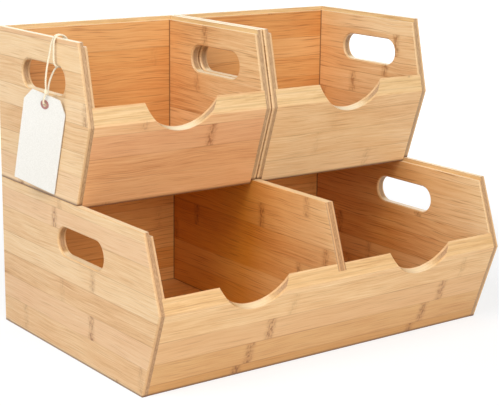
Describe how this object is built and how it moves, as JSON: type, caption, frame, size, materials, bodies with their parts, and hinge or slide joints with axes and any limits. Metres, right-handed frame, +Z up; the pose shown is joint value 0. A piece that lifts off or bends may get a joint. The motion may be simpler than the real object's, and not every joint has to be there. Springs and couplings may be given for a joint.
{
  "type": "potato storage bin",
  "caption": "Open-front stacking produce bins of bamboo board: a wide divided bin carries two small bins, with hand slots, finger scoops and a hanging card tag.",
  "frame": {"origin": "at floor level, under the middle of the box that the three bins fill, leaving out the tag and its string", "axes": "+Z up, -Y towards the open front, +X to the right as one faces the front"},
  "size_m": [0.4208, 0.284, 0.2974],
  "materials": {
    "bamboo_board": "satin clear lacquer on laminated bamboo strips",
    "card": "uncoated white card",
    "paper_ring": "matt fibre",
    "twine": "undyed twisted cotton"
  },
  "bodies": {
    "wide_bin": {"wide_bin_left_side": "bamboo_board", "wide_bin_right_side": "bamboo_board", "wide_bin_front": "bamboo_board", "wide_bin_back": "bamboo_board", "wide_bin_floor": "bamboo_board", "wide_bin_divider": "bamboo_board"},
    "left_bin": {"left_bin_outer_side": "bamboo_board", "left_bin_inner_side": "bamboo_board", "left_bin_front": "bamboo_board", "left_bin_back": "bamboo_board", "left_bin_floor": "bamboo_board", "tag_string": "twine", "tag_string_knot": "twine"},
    "right_bin": {"right_bin_outer_side": "bamboo_board", "right_bin_inner_side": "bamboo_board", "right_bin_front": "bamboo_board", "right_bin_back": "bamboo_board", "right_bin_floor": "bamboo_board"},
    "tag": {"tag_card": "card", "tag_ring": "paper_ring"}
  },
  "joints": [
    {"name": "left_bin_lift", "type": "slide", "parent": "wide_bin", "child": "left_bin", "axis": [0, 0, 1], "range_m": [0, 0.15]},
    {"name": "right_bin_lift", "type": "slide", "parent": "wide_bin", "child": "right_bin", "axis": [0, 0, 1], "range_m": [0, 0.15]},
    {"name": "tag_swing", "type": "hinge", "parent": "left_bin", "child": "tag", "pos_m": [-0.2107, 0.0286, 0.236], "axis": [1, 0, 0], "range_deg": [-20, 15]}
  ]
}
